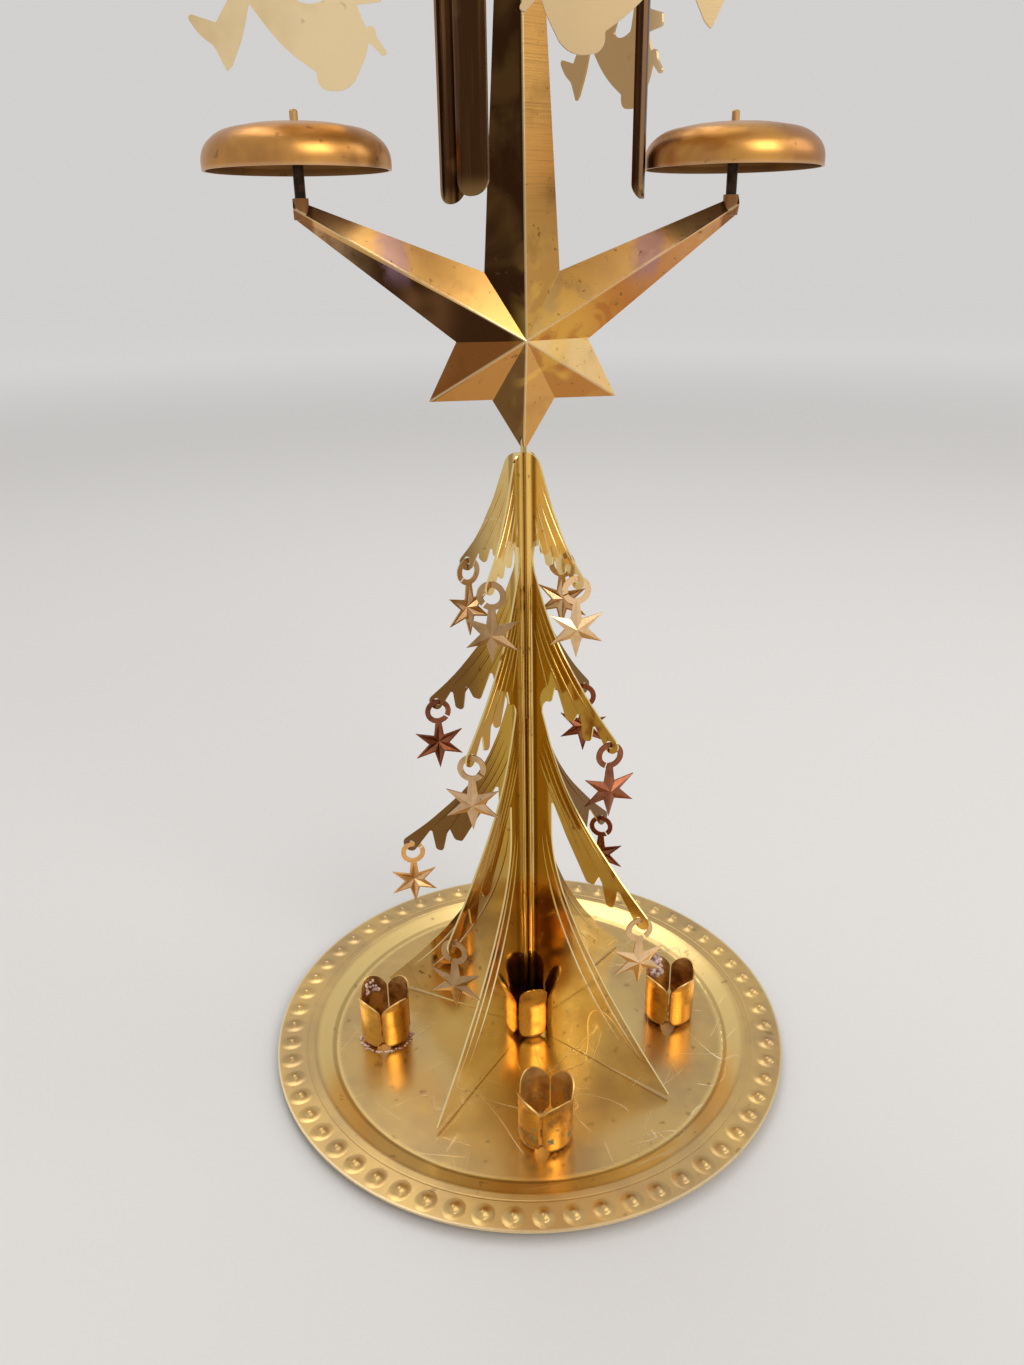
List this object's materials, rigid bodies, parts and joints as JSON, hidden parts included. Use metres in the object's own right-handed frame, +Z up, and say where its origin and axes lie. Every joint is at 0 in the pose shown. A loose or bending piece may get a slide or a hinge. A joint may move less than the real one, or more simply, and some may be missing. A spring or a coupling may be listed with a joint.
{
  "type": "angel chime",
  "caption": "Brass candle carousel: beaded tray, slotted tree with star pendants, folded star with bells, and a bladed fan that carries angels and strikers round.",
  "frame": {"origin": "centre of the tray's underside, on the table", "axes": "+Z up the tree, +X toward the right-hand bell, +Y away from the viewer; star and bell arms lie in XZ"},
  "size_m": [0.145, 0.145, 0.324],
  "materials": {
    "tray_brass": "worn satin, pale",
    "cup_brass": "glossy orange gold with brown tarnish inside",
    "rivet_brass": "dull",
    "tree_brass": "glossy yellow, lacquered, engraved",
    "star_brass": "tarnished with heat tints",
    "bell_bronze": "satin golden brown",
    "post_dark": "blackened",
    "turned_brass": "turned satin",
    "fan_brass": "satin, pale gold",
    "hanger_brass": "satin",
    "wire_brass": "drawn wire",
    "pendant_pale": "matte pale gold",
    "pendant_copper": "matte reddish copper brown",
    "striker_bronze": "dark glossy",
    "angel_brass": "matte pale gold",
    "needle_steel": "ground"
  },
  "bodies": {
    "base": {"tray": "tray_brass", "candle_holder_left": "cup_brass", "candle_holder_right": "cup_brass", "candle_holder_front": "cup_brass", "candle_holder_back": "cup_brass", "centre_clip": "cup_brass", "rivets": "rivet_brass", "tree_panel_a": "tree_brass", "tree_panel_b": "tree_brass", "star_front_shell": "star_brass", "star_back_shell": "star_brass", "bell_post_left": "post_dark", "bell_post_right": "post_dark", "needle": "needle_steel"},
    "rotor": {"bearing_cap": "turned_brass", "hanger": "hanger_brass", "fan_spacer": "turned_brass", "fan": "fan_brass", "fan_collar": "turned_brass", "jump_rings": "wire_brass"},
    "bell_left": {"bell_left": "bell_bronze"},
    "bell_right": {"bell_right": "bell_bronze"},
    "star_pendant_upper_front_right": {"star_pendant_upper_front_right": "pendant_pale"},
    "star_pendant_middle_front_right": {"star_pendant_middle_front_right": "pendant_copper"},
    "star_pendant_lower_front_right": {"star_pendant_lower_front_right": "pendant_pale"},
    "star_pendant_upper_back_left": {"star_pendant_upper_back_left": "pendant_pale"},
    "star_pendant_middle_back_left": {"star_pendant_middle_back_left": "pendant_copper"},
    "star_pendant_lower_back_left": {"star_pendant_lower_back_left": "pendant_pale"},
    "star_pendant_upper_front_left": {"star_pendant_upper_front_left": "pendant_pale"},
    "star_pendant_middle_front_left": {"star_pendant_middle_front_left": "pendant_pale"},
    "star_pendant_lower_front_left": {"star_pendant_lower_front_left": "pendant_pale"},
    "star_pendant_upper_back_right": {"star_pendant_upper_back_right": "pendant_pale"},
    "star_pendant_middle_back_right": {"star_pendant_middle_back_right": "pendant_copper"},
    "star_pendant_lower_back_right": {"star_pendant_lower_back_right": "pendant_copper"},
    "striker_right": {"striker_right": "striker_bronze"},
    "striker_back": {"striker_back": "striker_bronze"},
    "striker_front": {"striker_front": "striker_bronze"},
    "angel_left": {"angel_left": "angel_brass"},
    "angel_back": {"angel_back": "angel_brass"},
    "angel_front": {"angel_front": "angel_brass"}
  },
  "joints": [
    {"name": "rotor_spin", "type": "hinge", "parent": "base", "child": "rotor", "pos_m": [0, 0, 0.3222], "axis": [0, 0, 1], "continuous": true},
    {"name": "bell_left_spin", "type": "hinge", "parent": "base", "child": "bell_left", "pos_m": [-0.0463, 0, 0.2362], "axis": [0, 0, 1], "continuous": true},
    {"name": "bell_right_spin", "type": "hinge", "parent": "base", "child": "bell_right", "pos_m": [0.0463, 0, 0.2362], "axis": [0, 0, 1], "continuous": true},
    {"name": "upper_front_right_swing", "type": "hinge", "parent": "base", "child": "star_pendant_upper_front_right", "pos_m": [0.01059, -0.01135, 0.1407], "axis": [-0.7314, -0.682, 0], "range_deg": [-8, 25]},
    {"name": "middle_front_right_swing", "type": "hinge", "parent": "base", "child": "star_pendant_middle_front_right", "pos_m": [0.01775, -0.01904, 0.10037], "axis": [-0.7314, -0.682, 0], "range_deg": [-15, 25]},
    {"name": "lower_front_right_swing", "type": "hinge", "parent": "base", "child": "star_pendant_lower_front_right", "pos_m": [0.02485, -0.02665, 0.05355], "axis": [-0.7314, -0.682, 0], "range_deg": [-15, 25]},
    {"name": "upper_back_left_swing", "type": "hinge", "parent": "base", "child": "star_pendant_upper_back_left", "pos_m": [-0.01302, 0.00845, 0.1407], "axis": [0.5446, 0.8387, 0], "range_deg": [-8, 25]},
    {"name": "middle_back_left_swing", "type": "hinge", "parent": "base", "child": "star_pendant_middle_back_left", "pos_m": [-0.02183, 0.01418, 0.10037], "axis": [0.5446, 0.8387, 0], "range_deg": [-15, 25]},
    {"name": "lower_back_left_swing", "type": "hinge", "parent": "base", "child": "star_pendant_lower_back_left", "pos_m": [-0.03056, 0.01985, 0.05355], "axis": [0.5446, 0.8387, 0], "range_deg": [-15, 25]},
    {"name": "upper_front_left_swing", "type": "hinge", "parent": "base", "child": "star_pendant_upper_front_left", "pos_m": [-0.00977, -0.01206, 0.1407], "axis": [-0.7771, 0.6293, 0], "range_deg": [-8, 25]},
    {"name": "middle_front_left_swing", "type": "hinge", "parent": "base", "child": "star_pendant_middle_front_left", "pos_m": [-0.01638, -0.02023, 0.10037], "axis": [-0.7771, 0.6293, 0], "range_deg": [-15, 25]},
    {"name": "lower_front_left_swing", "type": "hinge", "parent": "base", "child": "star_pendant_lower_front_left", "pos_m": [-0.02293, -0.02832, 0.05355], "axis": [-0.7771, 0.6293, 0], "range_deg": [-15, 25]},
    {"name": "upper_back_right_swing", "type": "hinge", "parent": "base", "child": "star_pendant_upper_back_right", "pos_m": [0.01126, 0.01068, 0.1407], "axis": [0.6884, -0.7254, 0], "range_deg": [-8, 25]},
    {"name": "middle_back_right_swing", "type": "hinge", "parent": "base", "child": "star_pendant_middle_back_right", "pos_m": [0.01888, 0.01792, 0.10037], "axis": [0.6884, -0.7254, 0], "range_deg": [-15, 25]},
    {"name": "lower_back_right_swing", "type": "hinge", "parent": "base", "child": "star_pendant_lower_back_right", "pos_m": [0.02643, 0.02508, 0.05355], "axis": [0.6884, -0.7254, 0], "range_deg": [-15, 25]},
    {"name": "striker_right_swing", "type": "hinge", "parent": "rotor", "child": "striker_right", "pos_m": [0.02598, 0, 0.30156], "axis": [0, -1, 0], "range_deg": [-8, 0.2]},
    {"name": "striker_back_swing", "type": "hinge", "parent": "rotor", "child": "striker_back", "pos_m": [-0.01299, 0.0225, 0.30156], "axis": [0.866, 0.5, 0], "range_deg": [-8, 0.2]},
    {"name": "striker_front_swing", "type": "hinge", "parent": "rotor", "child": "striker_front", "pos_m": [-0.01299, -0.0225, 0.30156], "axis": [-0.866, 0.5, 0], "range_deg": [-8, 0.2]},
    {"name": "angel_left_swing", "type": "hinge", "parent": "rotor", "child": "angel_left", "pos_m": [-0.04527, 0.00189, 0.29676], "axis": [0.0698, 0.9976, 0], "range_deg": [-8, 8]},
    {"name": "angel_back_swing", "type": "hinge", "parent": "rotor", "child": "angel_back", "pos_m": [0.02775, 0.03802, 0.29676], "axis": [0.8988, 0.4384, 0], "range_deg": [-8, 8]},
    {"name": "angel_front_swing", "type": "hinge", "parent": "rotor", "child": "angel_front", "pos_m": [0.01158, -0.04575, 0.29676], "axis": [-0.0872, -0.9962, 0], "range_deg": [-8, 8]}
  ]
}
